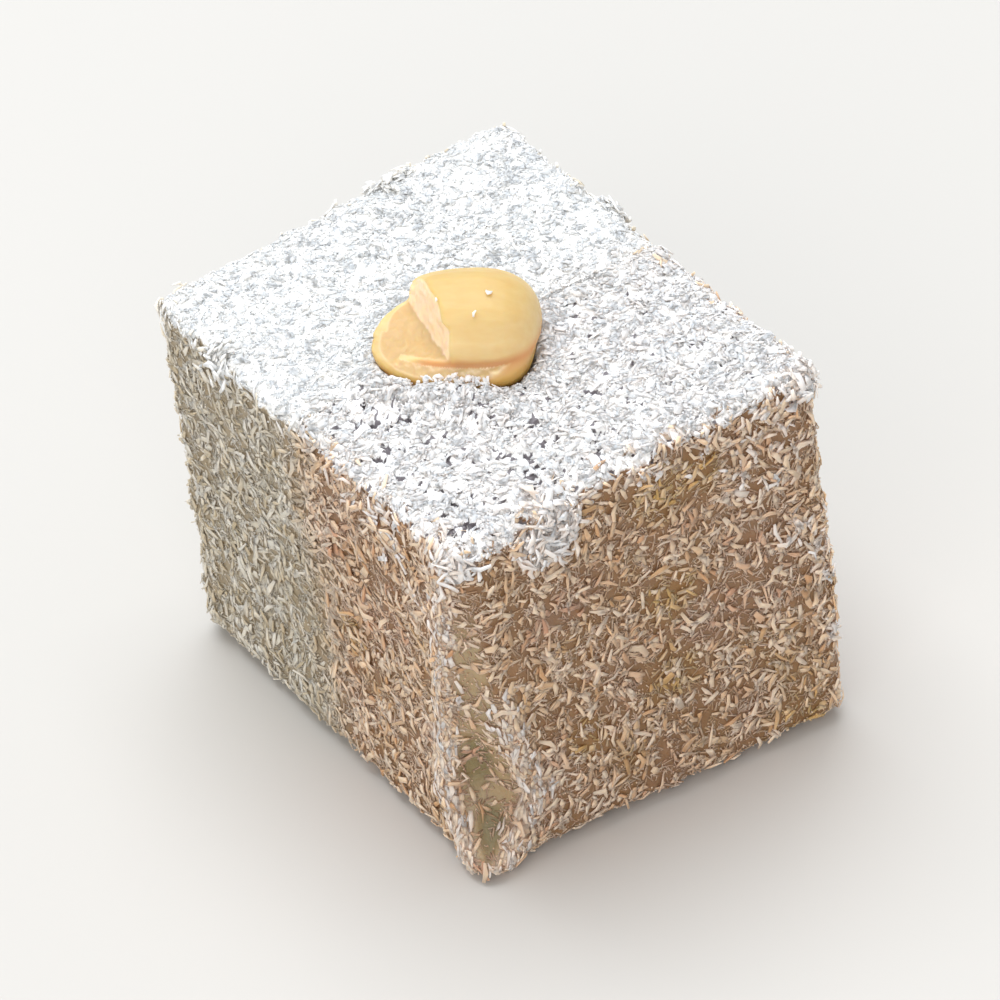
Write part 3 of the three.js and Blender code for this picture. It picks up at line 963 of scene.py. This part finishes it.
def kernel_flesh():
    """Blanched hazelnut: golden cream and waxy from its oil. It is painted darker and more golden
    towards its top, as shade to offset the strong light from above, and darker at its lowest part as
    painted shade. It is browner along the groove between its halves and paler where it has broken,
    and its broken face is painted a darker gold where it faces up, as shade against that light."""
    material = blank("blanched_hazelnut")
    place = add(material, "ShaderNodeTexCoord").outputs["Object"]
    turn = (0, 0, math.radians(-KERNEL["turn"]))
    turned = add(material, "ShaderNodeMapping", {"Vector": place, "Rotation": turn})
    longer = {"Vector": turned.outputs[0], "Scale": (0.25, 1, 1)}
    streaks = cloud(material, add(material, "ShaderNodeMapping", longer).outputs[0], 0.6 * MM, 3.0)
    patches = cloud(material, place, 2.5 * MM, 3.0)
    skin = blend_of(material, patches, linear("#d2b884"), linear("#e0d0a2"))
    # Painted shade: darker and more golden towards the top, against the light from above.
    skin = blend_of(material, marked(material, "darkened_top"), skin, linear("#ceb478"))
    tint = blend_of(material, streaks, linear("#f4e4cc"), linear("#ffffff"))
    skin = blend_of(material, 1.0, skin, tint, blend_type="MULTIPLY")
    # Painted shade at the kernel's lowest part.
    skin = blend_of(material, marked(material, "foot"), skin, linear("#b68f48"))
    colour = blend_of(material, marked(material, "broken"), skin, linear("#f2d8b2"))
    # Painted shade where the broken face faces up.
    colour = blend_of(material, marked(material, "upturned_break_shade"), colour, linear("#c3a26e"))
    colour = blend_of(material, marked(material, "groove"), colour, linear("#cc9660"))
    bump = add(
        material,
        "ShaderNodeBump",
        {"Height": cloud(material, place, 0.3 * MM), "Strength": 0.25, "Distance": 0.05 * MM},
    )
    shader = add(
        material,
        "ShaderNodeBsdfPrincipled",
        {
            "Base Color": colour,
            "Roughness": 0.5,
            "IOR": 1.45,
            "Subsurface Weight": 0.7,
            "Subsurface Radius": (2.2, 1.3, 0.6),
            "Subsurface Scale": MM,
            "Normal": bump.outputs["Normal"],
        },
    )
    add(material, "ShaderNodeOutputMaterial", {"Surface": shader.outputs["BSDF"]})
    return material


# ---- putting the sweet together ----------------------------------------------------------------

nut = hazelnut()
nut.data.materials.append(kernel_flesh())
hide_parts(HAZELNUT)
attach(nut, "root")

nut_tree = BVHTree.FromObject(nut, bpy.context.evaluated_depsgraph_get())
block = soft_block(nut_tree)
amber = layer_of(block, "amber_lokum_layer", -1)
amber.data.materials.append(jelly("amber_lokum", **AMBER_JELLY))
white = layer_of(block, "white_lokum_layer", 1)
white.data.materials.append(jelly("milky_lokum", **MILKY_JELLY))
bpy.data.objects.remove(block)
for layer, solid, slot in ((amber, AMBER, "amber_lokum"), (white, WHITE, "white_lokum")):
    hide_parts(solid)
    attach(layer, "root")
coat(amber, "amber_lokum", -1, nut, nut_tree, coconut("coconut_on_amber", **ON_AMBER))
coat(white, "white_lokum", 1, nut, nut_tree, coconut("coconut_on_white", **ON_WHITE))

# ---- floor, light and camera -------------------------------------------------------------------

bpy.ops.object.select_all(action="DESELECT")
bpy.ops.mesh.primitive_circle_add(vertices=96, radius=3.0, fill_type="NGON")
floor = bpy.context.object
floor.name = "table"
table_top = blank("pale_table")
matt = add(table_top, "ShaderNodeBsdfPrincipled", {"Base Color": linear("#c6c3be"), "Roughness": 0.9})
add(table_top, "ShaderNodeOutputMaterial", {"Surface": matt.outputs["BSDF"]})
floor.data.materials.append(table_top)


def direction(azimuth, elevation):
    """The way to something this far round from the front and this far up, in degrees."""
    a, e = math.radians(azimuth), math.radians(elevation)
    return Vector((math.sin(a) * math.cos(e), -math.cos(a) * math.cos(e), math.sin(e)))


def softbox(name, azimuth, elevation, distance, size, power, colour):
    """A square soft light that points at the sweet."""
    light = bpy.data.lights.new(name, "AREA")
    light.shape, light.size, light.energy = "SQUARE", size, power
    light.color = linear(colour)[:3]
    lamp = bpy.data.objects.new(name, light)
    bpy.context.scene.collection.objects.link(lamp)
    towards = direction(azimuth, elevation)
    lamp.location = towards * distance + LIT
    lamp.rotation_euler = towards.to_track_quat("Z", "Y").to_euler()


for light in LIGHTS:
    softbox(*light)

world = bpy.data.worlds.new("bright_room")
world.use_nodes = True
glow = world.node_tree.nodes["Background"].inputs
glow["Color"].default_value, glow["Strength"].default_value = linear(ROOM[0]), ROOM[1]
bpy.context.scene.world = world
bpy.context.scene.view_settings.view_transform = "Standard"

camera = bpy.data.objects.new("camera", bpy.data.cameras.new("camera"))
bpy.context.scene.collection.objects.link(camera)
back = direction(VIEW["azimuth"], VIEW["elevation"])
camera.location = Vector((0, 0, SWEET["height"] / 2)) + back * VIEW["distance"]
camera.rotation_mode = "QUATERNION"
roll = Quaternion((0, 0, 1), math.radians(VIEW["roll"]))
camera.rotation_quaternion = (-back).to_track_quat("-Z", "Y") @ roll
camera.data.lens = camera.data.sensor_width * VIEW["distance"] / VIEW["frame"]
bpy.context.scene.camera = camera
